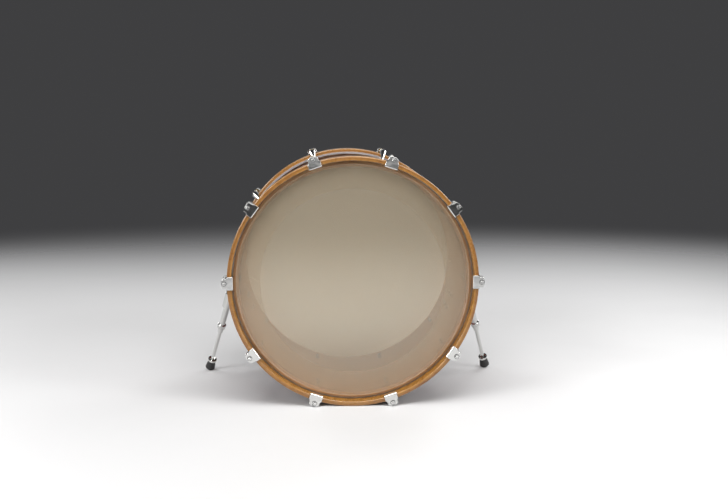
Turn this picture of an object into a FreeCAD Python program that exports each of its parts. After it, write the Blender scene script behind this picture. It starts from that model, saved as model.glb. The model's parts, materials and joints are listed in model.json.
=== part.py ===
import FreeCAD, Part
import math
import os
import re
import Sketcher

# Twenty-two inch by sixteen inch bass drum with ten lugs a head, wooden hoops and folding spurs.
# Millimetres. +Z is up, the drum's axis runs along Y, the batter head faces -Y and the front head +Y.
# The origin is on the floor, under the middle of the drum.

DIMENSIONS = {
    # shell
    "shell_outer_r": 277.6, "shell_wall": 7.6, "edge_y": 203.2, "edge_bevel": 2.0,
    "wrap_thick": 0.8, "wrap_end_y": 199.2, "axis_height": 295.0,
    # heads
    "film_thick": 0.25, "film_ease": 0.15, "film_wall_r": 282.6, "film_end_y": 185.4,
    "flesh_outer_r": 287.2, "flesh_wall": 0.4, "flesh_low_y": 184.0, "flesh_top_y": 194.2,
    "muffle_inner_r": 218.5, "muffle_outer_r": 268.0, "muffle_thick": 0.5,
    # hoops
    "hoop_outer_r": 295.0, "hoop_thick": 10.5, "hoop_width": 38.0, "hoop_round": 2.4,
    # claws, their pads and washers
    "lug_count": 10, "first_angle": 18.0, "rod_circle_r": 301.2,
    "claw_pad": 1.0, "claw_pad_angle": 6.0, "claw_wall": 2.6, "claw_lip_thick": 3.4,
    "claw_lip_round": 3.0, "claw_lip_deep": 11.5, "claw_skirt_deep": 21.0, "claw_half": 15.4,
    "claw_shoulder_r": 292.5,
    "ear_half": 12.2, "ear_hip": -3.4, "ear_side": 3.4, "ear_top": 6.9, "ear_top_half": 6.0,
    "ear_corner": 2.4, "ear_recess_r": 6.2, "ear_recess": 2.0,
    "claw_round": 0.7, "claw_hole_r": 3.4, "washer_r": 5.9, "washer_thick": 1.0,
    # tension rods
    "rod_r": 3.0, "rod_end_y": 150.5, "flange_r": 5.2, "flange_thick": 1.4, "key_width": 6.35,
    "key_height": 6.8, "key_round": 0.6,
    # lugs
    "lug_front_y": 171.0, "lug_neck_y": 150.0, "lug_waist_y": 124.0, "lug_tip_y": 98.0,
    "lug_half": 7.6, "lug_waist_half": 4.6, "lug_tip_half": 2.0, "lug_waist_r": 290.5, "lug_tip_r": 282.0,
    "lug_low_r": 276.0, "gasket_thick": 1.0, "gasket_lip": 0.8,
    "insert_r": 5.0, "insert_deep": 18.0, "insert_bore_r": 3.05, "insert_lip_r": 6.2, "insert_lip": 1.2,
    # lug screws
    "screw_r": 2.0, "screw_hole_r": 2.2, "screw_head_r": 4.0, "screw_head": 2.6, "screw_tip_r": 286.0,
    "screw_front_y": 158.0, "screw_back_y": 126.0, "screw_washer_r": 5.0, "screw_washer": 0.8,
    # badge plate and air vent
    "badge_half": 19.0, "badge_angle": 12.0, "badge_thick": 0.8, "vent_r": 6.0, "vent_bore_r": 4.6,
    "vent_flange_r": 9.5, "vent_flange": 1.2,
    # spur bracket, on the shell
    "spur_angle": 108.8, "spur_y": 42.9, "plate_long": 62.0, "plate_wide": 50.0, "plate_thick": 6.0,
    "plate_corner": 9.0, "plate_round": 1.8, "boss_r": 19.0, "boss_height": 19.0, "boss_round": 1.0,
    "pivot_bore_r": 3.05, "bolt_y": 23.0, "bolt_z": 17.0, "bolt_r": 2.4, "bolt_hole_r": 2.5,
    "bolt_head_r": 4.6, "bolt_head": 3.2, "bolt_stand": 1.0,
    # spur arm, leg and foot: distances along the leg start where it passes the pivot
    "arm_gap": 0.2, "arm_disc_r": 18.6, "arm_disc": 8.0, "arm_hole_r": 3.3, "leg_height": 41.0,
    "arm_round": 1.2, "leg_offset": 22.0, "leg_lean": 33.2, "leg_splay": 27.2,
    "barrel_r": 12.4, "barrel_half": 23.0,
    "tube_r": 8.0, "tube_bore_r": 4.8, "tube_back": 27.0, "tube_end": 92.0, "leg_r": 4.75,
    "leg_start": 32.0, "collar_start": 84.0, "collar_shoulder": 97.0, "collar_end": 112.0,
    "collar_r": 10.6, "collar_nose_r": 6.6, "collar_bore_r": 8.05, "collar_nose_bore_r": 4.85,
    "spike_r": 3.2, "spike_point": 9.0, "spike_taper": 5.0, "cup_r": 11.4, "cup_wall": 1.4, "cup_deep": 6.0,
    "cup_floor": 2.2, "shoulder_back": 18.0, "foot_top_r": 9.6, "foot_r": 12.8, "foot_round": 15.0,
    "bolt_flange_r": 6.4, "bolt_flange": 1.6, "bolt_depth": 15.0, "web_gap": 1.4,
}

doc = FreeCAD.newDocument("BassDrum")
sheet = doc.addObject("Spreadsheet::Sheet", "dims")
subparts = []


def set_dimension(name, value):
    if name not in rows:
        rows.append(name)
    row = rows.index(name) + 1
    sheet.set(f"A{row}", name)
    sheet.set(f"B{row}", str(value))
    sheet.setAlias(f"B{row}", name)


def bound(expression):
    """Writes dims. before each dimension's name, so that an expression reads the sheet."""
    return re.sub(r"\b([a-z]\w*)\b(?!\()", r"dims.\1", expression)


def value(expression):
    return float(sheet.evalExpression(bound(expression)))


def bind(obj, **expressions):
    for prop, expression in expressions.items():
        obj.setExpression(prop, bound(expression))


def register(obj, label):
    obj.Label = label
    subparts.append(obj)
    return obj


# ---------------------------------------------------------------- sketches and features

def new_body(name):
    return doc.addObject("PartDesign::Body", name)


def origin_item(body, role):
    return next(item for item in body.Origin.OriginFeatures if item.Role == role)


def new_sketch(body, plane, lift=None):
    """A sketch on one of the body's origin planes, lifted along the plane's normal."""
    sketch = body.newObject("Sketcher::SketchObject", body.Name + "_sketch")
    sketch.AttachmentSupport = [(origin_item(body, plane), "")]
    sketch.MapMode = "FlatFace"
    if lift:
        sketch.setExpression("AttachmentOffset.Base.z", bound(lift))
    return sketch


def fix_point(sketch, geometry, end, x, y):
    """Holds a point at two expressions of the sheet."""
    for kind, expression in (("DistanceX", x), ("DistanceY", y)):
        index = sketch.addConstraint(Sketcher.Constraint(kind, -1, 1, geometry, end, value(expression)))
        sketch.setExpression(f"Constraints[{index}]", bound(expression))


def outline(sketch, points, arcs=None):
    """A closed outline through the points. arcs gives a side's radius; plus bulges to the right."""
    arcs = arcs or {}
    places = [FreeCAD.Vector(value(x), value(y), 0) for x, y in points]
    first = sketch.GeometryCount
    for side, start in enumerate(places):
        end = places[(side + 1) % len(places)]
        if side in arcs:
            sketch.addGeometry(side_arc(start, end, value(arcs[side])), False)
        else:
            sketch.addGeometry(Part.LineSegment(start, end), False)
    for side, (x, y) in enumerate(points):
        nearest = 1 if side not in arcs or value(arcs[side]) > 0 else 2
        fix_point(sketch, first + side, nearest, x, y)
    for side in range(len(points)):
        following = (side + 1) % len(points)
        tail = 2 if side not in arcs or value(arcs[side]) > 0 else 1
        head = 1 if following not in arcs or value(arcs[following]) > 0 else 2
        joint = Sketcher.Constraint("Coincident", first + side, tail, first + following, head)
        sketch.addConstraint(joint)
    for side, radius in arcs.items():
        index = sketch.addConstraint(Sketcher.Constraint("Radius", first + side, abs(value(radius))))
        sketch.setExpression(f"Constraints[{index}]", f"abs({bound(radius)})")


def side_arc(start, end, radius):
    """An arc from start to end; a plus radius turns anticlockwise, a minus radius clockwise."""
    chord = end - start
    half = chord.Length / 2
    rise = math.sqrt(max(radius * radius - half * half, 0.0))
    across = FreeCAD.Vector(-chord.y, chord.x, 0).normalize()
    centre = (start + end) * 0.5 + across * math.copysign(rise, radius)
    circle = Part.Circle(centre, FreeCAD.Vector(0, 0, 1), abs(radius))
    turn = [math.atan2(p.y - centre.y, p.x - centre.x) for p in (start, end)]
    if radius < 0:
        turn.reverse()
    if turn[1] < turn[0]:
        turn[1] += 2 * math.pi
    return Part.ArcOfCircle(circle, turn[0], turn[1])


def circle(sketch, x, y, radius):
    centre = FreeCAD.Vector(value(x), value(y), 0)
    index = sketch.addGeometry(Part.Circle(centre, FreeCAD.Vector(0, 0, 1), value(radius)), False)
    fix_point(sketch, index, 3, x, y)
    size = sketch.addConstraint(Sketcher.Constraint("Radius", index, value(radius)))
    sketch.setExpression(f"Constraints[{size}]", bound(radius))


def feature(body, kind, sketch, **options):
    made = body.newObject("PartDesign::" + kind, f"{body.Name}_{kind.lower()}")
    made.Profile = sketch
    sketch.Visibility = False
    for name, setting in options.items():
        setattr(made, name, setting)
    return made


def revolve(body, sketch, kind="Revolution", angle=None, axis="V_Axis"):
    made = feature(body, kind, sketch, ReferenceAxis=(sketch, [axis]), Angle=360.0)
    if angle:
        made.Midplane = True
        bind(made, Angle=angle)
    return made


def pad(body, sketch, length, backwards=False):
    made = feature(body, "Pad", sketch, Reversed=backwards)
    bind(made, Length=length)
    return made


def pocket(body, sketch, length=None, backwards=False):
    """Cuts against the sketch's normal, or along it when backwards; with no length it cuts through."""
    before = body.Shape.copy() if body.Tip else None
    made = feature(body, "Pocket", sketch, Reversed=backwards)
    if length:
        bind(made, Length=length)
    else:
        made.Type = "ThroughAll"
    doc.recompute()
    if before and not body.Shape.Volume < before.Volume - 1e-6:
        raise RuntimeError(body.Label + ": the pocket cuts nothing")
    return made


def ring_of(body):
    """Repeats the body's whole shape around its own Y axis, once a lug."""
    pattern = body.newObject("PartDesign::PolarPattern", body.Name + "_ring")
    pattern.TransformMode = "Whole shape"
    pattern.Axis = (origin_item(body, "Y_Axis"), [""])
    pattern.Angle = 360.0
    bind(pattern, Occurrences="lug_count")
    body.Tip = pattern
    return pattern


def fillet(body, radius, wanted):
    """Rounds the edges of the body's present shape for which wanted is true."""
    doc.recompute()
    base = body.Tip
    names = [f"Edge{n + 1}" for n, edge in enumerate(base.Shape.Edges) if wanted(edge)]
    made = body.newObject("PartDesign::Fillet", body.Name + "_fillet")
    made.Base = (base, names)
    bind(made, Radius=radius)
    return made


def place_on_axis(body, end=1, angle=0.0):
    """Local X points away from the drum's axis at angle, clockwise from the top seen from the
    batter side, and local Y points out of the drum at that end: -1 is the batter end, 1 the front."""
    turn = FreeCAD.Rotation(FreeCAD.Vector(0, 1, 0), angle - 90)
    if end < 0:
        turn = turn * FreeCAD.Rotation(FreeCAD.Vector(1, 0, 0), 180)
    body.Placement = FreeCAD.Placement(FreeCAD.Vector(0, 0, value("axis_height")), turn)
    body.setExpression("Placement.Base.z", bound("axis_height"))
    return turn


# ---------------------------------------------------------------- shell

def make_shell():
    body = new_body("shell_blank")
    sketch = new_sketch(body, "XY_Plane")
    inner, outer, apex = "shell_outer_r - shell_wall", "shell_outer_r", "shell_outer_r - edge_bevel"
    outline(sketch, [
        (inner, "-(edge_y - shell_wall + edge_bevel)"), (apex, "-edge_y"),
        (outer, "-(edge_y - edge_bevel)"),
        (outer, "edge_y - edge_bevel"), (apex, "edge_y"), (inner, "edge_y - shell_wall + edge_bevel"),
    ])
    revolve(body, sketch)
    cut_lug_holes(body)
    place_on_axis(body, 1, value("first_angle"))
    return body


def make_wrap():
    body = new_body("wrap_blank")
    sketch = new_sketch(body, "XY_Plane")
    outer = "shell_outer_r + wrap_thick"
    outline(sketch, [("shell_outer_r", "-wrap_end_y"), (outer, "-wrap_end_y"),
                     (outer, "wrap_end_y"), ("shell_outer_r", "wrap_end_y")])
    revolve(body, sketch)
    cut_lug_holes(body)
    place_on_axis(body, 1, value("first_angle"))
    return body


def cut_lug_holes(body):
    """Four screw holes along the shell at each lug angle."""
    doc.recompute()
    holes = new_sketch(body, "YZ_Plane")
    for row in ("screw_front_y", "screw_back_y", "-screw_front_y", "-screw_back_y"):
        circle(holes, row, "0", "screw_hole_r")
    cut = pocket(body, holes, backwards=True)
    pattern = body.newObject("PartDesign::PolarPattern", body.Name + "_holes")
    pattern.Originals = [cut]
    pattern.Axis = (origin_item(body, "Y_Axis"), [""])
    pattern.Angle = 360.0
    bind(pattern, Occurrences="lug_count")
    body.Tip = pattern


def make_badge():
    body = new_body("badge_blank")
    sketch = new_sketch(body, "XY_Plane")
    inner, outer = "shell_outer_r + wrap_thick", "shell_outer_r + wrap_thick + badge_thick"
    outline(sketch, [(inner, "-badge_half"), (outer, "-badge_half"),
                     (outer, "badge_half"), (inner, "badge_half")])
    revolve(body, sketch, angle="badge_angle")
    place_on_axis(body)
    return body


def make_vent():
    """The air vent's grommet: a tube through the shell with a flange inside and outside."""
    body = new_body("vent_grommet_body")
    sketch = new_sketch(body, "XZ_Plane")
    low = "shell_outer_r - shell_wall - 0.2"
    high = "shell_outer_r + wrap_thick + badge_thick"
    outline(sketch, [
        ("vent_bore_r", f"{low} - vent_flange"), ("vent_flange_r", f"{low} - vent_flange"),
        ("vent_flange_r", low), ("vent_r", low), ("vent_r", high), ("vent_flange_r", high),
        ("vent_flange_r - vent_flange", f"{high} + vent_flange"), ("vent_bore_r", f"{high} + vent_flange"),
    ])
    revolve(body, sketch)
    body.setExpression("Placement.Base.z", bound("axis_height"))
    return register(body, "vent_grommet")


# ---------------------------------------------------------------- heads and hoops

def make_head(side, end):
    film = new_body(side + "_film")
    sketch = new_sketch(film, "XY_Plane")
    # The collar starts just outside the bearing edge's apex, so that it stands clear of the bevel.
    fold = "(shell_outer_r - edge_bevel + film_ease)"
    outline(sketch, [
        ("0", "edge_y"), (fold, "edge_y"),
        ("film_wall_r", f"edge_y + {fold} - film_wall_r"),
        ("film_wall_r", "film_end_y"), ("film_wall_r + film_thick", "film_end_y"),
        ("film_wall_r + film_thick", f"edge_y + film_thick / 2 + {fold} - film_wall_r"),
        (f"{fold} + film_thick / 2", "edge_y + film_thick"), ("0", "edge_y + film_thick"),
    ])
    revolve(film, sketch)
    place_on_axis(film, end)
    register(film, side + "_head_film")

    ring = new_body(side + "_flesh")
    sketch = new_sketch(ring, "XY_Plane")
    outline(sketch, [
        ("film_wall_r - flesh_wall", "flesh_low_y"), ("flesh_outer_r", "flesh_low_y"),
        ("flesh_outer_r", "flesh_top_y"), ("film_wall_r + film_thick", "flesh_top_y"),
        ("film_wall_r + film_thick", "film_end_y"), ("film_wall_r", "film_end_y"),
        ("film_wall_r", "flesh_top_y"), ("film_wall_r - flesh_wall", "flesh_top_y"),
    ])
    revolve(ring, sketch)
    place_on_axis(ring, end)
    register(ring, side + "_flesh_hoop")


def make_muffle_ring():
    body = new_body("muffle")
    sketch = new_sketch(body, "XY_Plane")
    low, high = "edge_y - muffle_thick", "edge_y"
    outline(sketch, [("muffle_inner_r", low), ("muffle_outer_r", low),
                     ("muffle_outer_r", high), ("muffle_inner_r", high)])
    revolve(body, sketch)
    place_on_axis(body, -1)
    register(body, "batter_muffle_ring")


def make_hoop(side, end):
    body = new_body(side + "_hoop_body")
    sketch = new_sketch(body, "XY_Plane")
    inner, top = "hoop_outer_r - hoop_thick", "flesh_top_y + hoop_width"
    outline(sketch, [(inner, "flesh_top_y"), ("hoop_outer_r", "flesh_top_y"),
                     ("hoop_outer_r", top), (inner, top)])
    revolve(body, sketch)
    fillet(body, "hoop_round", lambda edge: edge.Length > 100)
    place_on_axis(body, end)
    register(body, side + "_hoop")


# ---------------------------------------------------------------- claws, rods and lugs

FACE = "(flesh_top_y + hoop_width)"
CLAW_FACE = f"({FACE} + claw_pad + claw_wall)"
PAD_INNER = "(hoop_outer_r - hoop_thick - claw_pad)"
PAD_OUTER = "(hoop_outer_r + claw_pad)"
SEAT = f"({CLAW_FACE} - ear_recess)"


def make_claws(side, end):
    """Cast claws: a rounded lip inside the hoop, a flat over its edge and a blocky ear round the rod."""
    body = new_body(side + "_claw_body")

    block = new_sketch(body, "XZ_Plane", lift="-" + CLAW_FACE)
    lip_r = f"({PAD_INNER} - claw_lip_thick)"
    flank = [(lip_r, "claw_half"), ("claw_shoulder_r", "claw_half"),
             ("rod_circle_r + ear_hip", "ear_half"), ("rod_circle_r + ear_side", "ear_half"),
             ("rod_circle_r + ear_top", "ear_top_half")]
    outline(block, [(along, "-" + across) for along, across in flank] + flank[::-1])
    pad(body, block, "claw_skirt_deep")

    face, low, rod = value(CLAW_FACE), value(lip_r), value("rod_circle_r")
    fillet(body, "claw_lip_round",
           lambda edge: edge.BoundBox.YMin > face - 1e-4 and edge.BoundBox.XMax < low + 1e-4)
    fillet(body, "ear_corner", lambda edge: edge.BoundBox.YLength > 15 and edge.BoundBox.XMin > rod)
    fillet(body, "claw_round",
           lambda edge: edge.BoundBox.YMin > face - 1e-4 and edge.BoundBox.ZLength < value("claw_half"))

    room = new_sketch(body, "XY_Plane")
    bottom, lip, high = f"{FACE} - hoop_width", f"{FACE} - claw_lip_deep", f"{FACE} + claw_pad"
    outline(room, [(f"{lip_r} - 5", bottom), (PAD_OUTER, bottom), (PAD_OUTER, high),
                   (PAD_INNER, high), (PAD_INNER, lip), (f"{lip_r} - 5", lip)])
    revolve(body, room, kind="Groove")
    doc.recompute()

    recess = new_sketch(body, "XZ_Plane", lift="-" + CLAW_FACE)
    circle(recess, "rod_circle_r", "0", "ear_recess_r")
    pocket(body, recess, "ear_recess", backwards=True)
    hole = new_sketch(body, "XZ_Plane", lift="-" + CLAW_FACE)
    circle(hole, "rod_circle_r", "0", "claw_hole_r")
    pocket(body, hole, backwards=True)

    ring_of(body)
    place_on_axis(body, end, value("first_angle"))
    register(body, side + "_claws")


def make_claw_pads():
    """Rubber liners between each claw and its hoop, at both ends."""
    body = new_body("claw_pad_body")
    sketch = new_sketch(body, "XY_Plane")
    inner, outer = "hoop_outer_r - hoop_thick", "hoop_outer_r"
    for sign in ("", "-"):
        levels = [f"{sign}({FACE} - claw_lip_deep + 1)", f"{sign}{FACE}",
                  f"{sign}({CLAW_FACE} - claw_skirt_deep + 1)", f"{sign}({FACE} + claw_pad)"]
        outline(sketch, [
            (PAD_INNER, levels[0]), (inner, levels[0]), (inner, levels[1]), (outer, levels[1]),
            (outer, levels[2]), (PAD_OUTER, levels[2]), (PAD_OUTER, levels[3]), (PAD_INNER, levels[3]),
        ])
    revolve(body, sketch, angle="claw_pad_angle")
    ring_of(body)
    place_on_axis(body, 1, value("first_angle"))
    register(body, "claw_pads")


def make_rod_washers():
    body = new_body("rod_washer_body")
    for sign, backwards in (("-", True), ("", False)):
        sketch = new_sketch(body, "XZ_Plane", lift=f"{sign}{SEAT}")
        circle(sketch, "rod_circle_r", "0", "washer_r")
        circle(sketch, "rod_circle_r", "0", "claw_hole_r")
        pad(body, sketch, "washer_thick", backwards)
    ring_of(body)
    place_on_axis(body, 1, value("first_angle"))
    register(body, "rod_washers")


def make_rod(side, end, number):
    """One square-headed tension rod, on its own axis."""
    body = new_body(f"{side}_rod_{number + 1:02d}_body")
    sketch = new_sketch(body, "XY_Plane")
    under = f"({SEAT} + washer_thick)"
    outline(sketch, [
        ("0", "rod_end_y"), ("rod_r - 0.6", "rod_end_y"), ("rod_r", "rod_end_y + 0.6"), ("rod_r", under),
        ("flange_r", under), ("flange_r", f"{under} + flange_thick"), ("0", f"{under} + flange_thick"),
    ])
    revolve(body, sketch)
    key = new_sketch(body, "XZ_Plane", lift=f"-({under} + flange_thick)")
    half = "key_width / 2"
    outline(key, [(f"-{half}", f"-{half}"), (half, f"-{half}"), (half, half), (f"-{half}", half)])
    pad(body, key, "key_height", backwards=True)
    top = value(f"{under} + flange_thick + key_height")
    fillet(body, "key_round", lambda edge: edge.BoundBox.YMin > top - 1e-4)
    turn = place_on_axis(body, end, value("first_angle") + number * 360 / value("lug_count"))
    body.clearExpression("Placement.Base.z")
    centre = FreeCAD.Vector(0, 0, value("axis_height"))
    body.Placement.Base = centre + turn.multVec(FreeCAD.Vector(value("rod_circle_r"), 0, 0))
    register(body, f"{side}_rod_{number + 1:02d}")


def lug_section(body, along, height, half):
    """A lug's cross-section: straight sides under a half-round top."""
    sketch = new_sketch(body, "XZ_Plane", lift=f"-{along}")
    outline(sketch, [("lug_low_r", f"-{half}"), (height, f"-{half}"), (height, half), ("lug_low_r", half)],
            arcs={1: half + " * 1.0001"})
    return sketch


def make_lugs(side, end):
    """Chrome fins: a barrel round the rod's nut that sweeps down to a point on the shell."""
    body = new_body(side + "_lug_body")
    pad(body, lug_section(body, "lug_front_y", "rod_circle_r", "lug_half"), "lug_front_y - lug_neck_y")
    neck = lug_section(body, "lug_neck_y", "rod_circle_r", "lug_half")
    waist = lug_section(body, "lug_waist_y", "lug_waist_r", "lug_waist_half")
    tip = lug_section(body, "lug_tip_y", "lug_tip_r", "lug_tip_half")
    doc.recompute()
    feature(body, "AdditiveLoft", neck, Sections=[waist, tip])
    doc.recompute()

    seat = new_sketch(body, "XY_Plane")
    low, high = "lug_low_r - 4", "shell_outer_r + wrap_thick + gasket_thick"
    outline(seat, [(low, "lug_tip_y - 4"), (high, "lug_tip_y - 4"), (high, "lug_front_y + 4"),
                   (low, "lug_front_y + 4")])
    revolve(body, seat, kind="Groove")
    doc.recompute()

    bore = new_sketch(body, "XZ_Plane", lift="-lug_front_y")
    circle(bore, "rod_circle_r", "0", "insert_r")
    pocket(body, bore, "lug_front_y - rod_end_y + 2", backwards=True)
    screws = new_sketch(body, "YZ_Plane", lift="lug_low_r - 4")
    for row in ("screw_front_y", "screw_back_y"):
        circle(screws, row, "0", "screw_r")
    pocket(body, screws, "screw_tip_r + 0.5 - lug_low_r + 4", backwards=True)
    front = value("lug_front_y")
    top = value("rod_circle_r")
    fillet(body, "claw_round", lambda e: e.BoundBox.YMin > front - 1e-4 and e.BoundBox.XMax > top + 6
           and e.BoundBox.ZLength > 12)
    ring_of(body)
    place_on_axis(body, end, value("first_angle"))
    register(body, side + "_lugs")


def make_lug_gaskets():
    body = new_body("lug_gasket_body")
    sketch = new_sketch(body, "YZ_Plane", lift="lug_low_r - 4")
    wide, waist, tip = (f"({half} + gasket_lip)" for half in ("lug_half", "lug_waist_half", "lug_tip_half"))
    for sign in ("", "-"):
        outline(sketch, [
            (f"{sign}(lug_front_y + gasket_lip)", f"-{wide}"), (f"{sign}(lug_front_y + gasket_lip)", wide),
            (f"{sign}lug_neck_y", wide), (f"{sign}lug_waist_y", waist),
            (f"{sign}(lug_tip_y - gasket_lip)", tip), (f"{sign}(lug_tip_y - gasket_lip)", f"-{tip}"),
            (f"{sign}lug_waist_y", f"-{waist}"), (f"{sign}lug_neck_y", f"-{wide}"),
        ])
    pad(body, sketch, "10")
    doc.recompute()
    trim = new_sketch(body, "XY_Plane")
    inner = "shell_outer_r + wrap_thick"
    bands = (("lug_low_r - 5", inner), (f"{inner} + gasket_thick", f"{inner} + 10"))
    for low, high in bands:
        outline(trim, [(low, "-edge_y"), (high, "-edge_y"), (high, "edge_y"), (low, "edge_y")])
    revolve(body, trim, kind="Groove")
    doc.recompute()
    holes = new_sketch(body, "YZ_Plane")
    for row in ("screw_front_y", "screw_back_y", "-screw_front_y", "-screw_back_y"):
        circle(holes, row, "0", "screw_hole_r")
    pocket(body, holes, backwards=True)
    ring_of(body)
    place_on_axis(body, 1, value("first_angle"))
    register(body, "lug_gaskets")


def make_lug_inserts():
    """The threaded nuts that the rods screw into, each with a lip outside its lug."""
    body = new_body("lug_insert_body")
    for sign, backwards in (("-", False), ("", True)):
        for radius, level, length in (("insert_r", "lug_front_y", "insert_deep"),
                                      ("insert_lip_r", "(lug_front_y + insert_lip)", "insert_lip")):
            sketch = new_sketch(body, "XZ_Plane", lift=f"{sign}{level}")
            circle(sketch, "rod_circle_r", "0", radius)
            circle(sketch, "rod_circle_r", "0", "insert_bore_r")
            pad(body, sketch, length, backwards)
    ring_of(body)
    place_on_axis(body, 1, value("first_angle"))
    register(body, "lug_inserts")


def make_lug_screws():
    """Machine screws from inside the shell into the lugs, and their flat washers."""
    rows = ("screw_front_y", "screw_back_y", "-screw_front_y", "-screw_back_y")
    wall = "(shell_outer_r - shell_wall - 0.1)"
    screws = new_body("lug_screw_body")
    start = f"{wall} - screw_washer - screw_head"
    for radius, length in (("screw_head_r", "screw_head"), ("screw_r", f"screw_tip_r - ({start})")):
        sketch = new_sketch(screws, "YZ_Plane", lift=start)
        for row in rows:
            circle(sketch, row, "0", radius)
        pad(screws, sketch, length)
    ring_of(screws)
    place_on_axis(screws, 1, value("first_angle"))
    register(screws, "lug_screws")

    washers = new_body("lug_washer_body")
    sketch = new_sketch(washers, "YZ_Plane", lift=f"{wall} - screw_washer")
    for row in rows:
        circle(sketch, row, "0", "screw_washer_r")
        circle(sketch, row, "0", "screw_hole_r")
    pad(washers, sketch, "screw_washer")
    ring_of(washers)
    place_on_axis(washers, 1, value("first_angle"))
    register(washers, "lug_screw_washers")


# ---------------------------------------------------------------- spurs

class SpurFrame:
    """Where the right-hand spur's pivot and leg lie, worked out from the sheet."""

    def __init__(self):
        around = math.radians(value("spur_angle"))
        lean, splay = math.radians(value("leg_lean")), math.radians(value("leg_splay"))
        self.radial = FreeCAD.Vector(math.sin(around), 0, math.cos(around))
        self.leg = FreeCAD.Vector(math.sin(lean) * math.sin(splay), math.sin(lean) * math.cos(splay),
                                  -math.cos(lean))
        stowed = FreeCAD.Vector(0, -1, 0)
        swing = self.leg - stowed
        # The pivot makes the same angle with the leg in use and the leg folded along the shell.
        self.pivot = self.radial - swing * (self.radial.dot(swing) / swing.dot(swing))
        self.pivot.normalize()
        self.side = self.pivot.cross(self.leg).normalize()
        self.ahead = self.side.cross(self.pivot).normalize()
        skin = value("shell_outer_r + wrap_thick")
        self.seat = self.radial * skin + FreeCAD.Vector(0, value("spur_y"), value("axis_height"))
        self.leg_top = self.seat + self.pivot * value("leg_height") + self.side * value("leg_offset")
        self.reach = (self.leg_top.z - value("foot_round")) / math.cos(lean)
        folded = [v - self.pivot * v.dot(self.pivot) for v in (self.leg, stowed)]
        self.fold_deg = math.degrees(folded[0].getAngle(folded[1]))

    def pivot_placement(self, height=0.0):
        turn = FreeCAD.Rotation(self.ahead, self.side, self.pivot, "ZXY")
        return FreeCAD.Placement(self.seat + self.pivot * height, turn)

    def bracket_placement(self):
        """Local X is the shell's radius, local Y the drum's axis."""
        axis = FreeCAD.Vector(0, 1, 0)
        turn = FreeCAD.Rotation(self.radial, axis, self.radial.cross(axis), "XYZ")
        return FreeCAD.Placement(FreeCAD.Vector(0, value("spur_y"), value("axis_height")), turn)

    def leg_placement(self):
        turn = FreeCAD.Rotation(self.side, self.leg, self.side.cross(self.leg), "YXZ")
        return FreeCAD.Placement(self.leg_top, turn)


def cylinder(name, radius, height, placement):
    made = doc.addObject("Part::Cylinder", name)
    bind(made, Radius=radius, Height=height)
    made.Placement = placement
    return made


def post(name, radius, low, high, rounded, placement):
    """A round post along the placement's Z from low to high, with its top edge rounded."""
    body = new_body(name)
    sketch = new_sketch(body, "XZ_Plane")
    outline(sketch, [("0", low), (radius, low), (radius, f"{high} - {rounded}"),
                     (f"{radius} - {rounded}", high), ("0", high)], arcs={2: rounded})
    revolve(body, sketch)
    body.Placement = placement
    return body


def joined(kind, name, base, tool):
    made = doc.addObject("Part::" + kind, name)
    made.Base = base
    made.Tool = tool
    return made


def gathered(name, pieces):
    made = doc.addObject("Part::Compound", name)
    made.Links = pieces
    return made


def mirrored(source, name):
    """The same piece on the drum's other side."""
    made = doc.addObject("Part::Mirroring", name)
    made.Source = source
    made.Normal = FreeCAD.Vector(1, 0, 0)
    return made


def bolt_places(spur, start):
    """Placements along each of the bracket's four bolts, starting at a radius of the shell."""
    frame = spur.bracket_placement()
    out = FreeCAD.Rotation(FreeCAD.Vector(0, 0, 1), FreeCAD.Vector(1, 0, 0))
    for along in (-1, 1):
        for across in (-1, 1):
            place = FreeCAD.Vector(value(start), along * value("bolt_y"), across * value("bolt_z"))
            yield frame * FreeCAD.Placement(place, out)


def make_holes(spur):
    """Holes for both brackets' bolts and for the air vent."""
    right = [cylinder(f"bolt_hole_{n}", "bolt_hole_r", "shell_wall * 1.5 + plate_thick + 0.2", place)
             for n, place in enumerate(bolt_places(spur, "shell_outer_r - shell_wall * 1.5"))]
    right_group = gathered("right_bolt_holes", right)
    left_group = mirrored(right_group, "left_bolt_holes")
    vent_base = FreeCAD.Vector(0, 0, value("axis_height + shell_outer_r - shell_wall * 2"))
    vent = cylinder("vent_hole", "vent_r", "shell_wall * 3", FreeCAD.Placement(vent_base, FreeCAD.Rotation()))
    return gathered("shell_holes", [right_group, left_group, vent])


def bracket_block(name, spur, margin, low, high, rounded=None):
    """A block with rounded corners that stands on the shell under the spur, along the shell's radius."""
    body = new_body(name)
    sketch = new_sketch(body, "YZ_Plane", lift=low)
    half_y, half_z = f"(plate_long / 2 + {margin})", f"(plate_wide / 2 + {margin})"
    outline(sketch, [(f"-{half_y}", f"-{half_z}"), (half_y, f"-{half_z}"),
                     (half_y, half_z), (f"-{half_y}", half_z)])
    pad(body, sketch, f"{high} - ({low})")
    fillet(body, "plate_corner", lambda edge: edge.BoundBox.XLength > 3)
    if rounded:
        top = value(high)
        fillet(body, rounded, lambda edge: edge.BoundBox.XMin > top - 1e-4)
    body.Placement = spur.bracket_placement()
    return body


def shell_drum(name, radius):
    """A solid cylinder on the drum's axis, for trimming what sits on the shell."""
    turn = FreeCAD.Rotation(FreeCAD.Vector(1, 0, 0), 90)
    place = FreeCAD.Vector(0, value("edge_y"), value("axis_height"))
    return cylinder(name, radius, "edge_y * 2", FreeCAD.Placement(place, turn))


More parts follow.
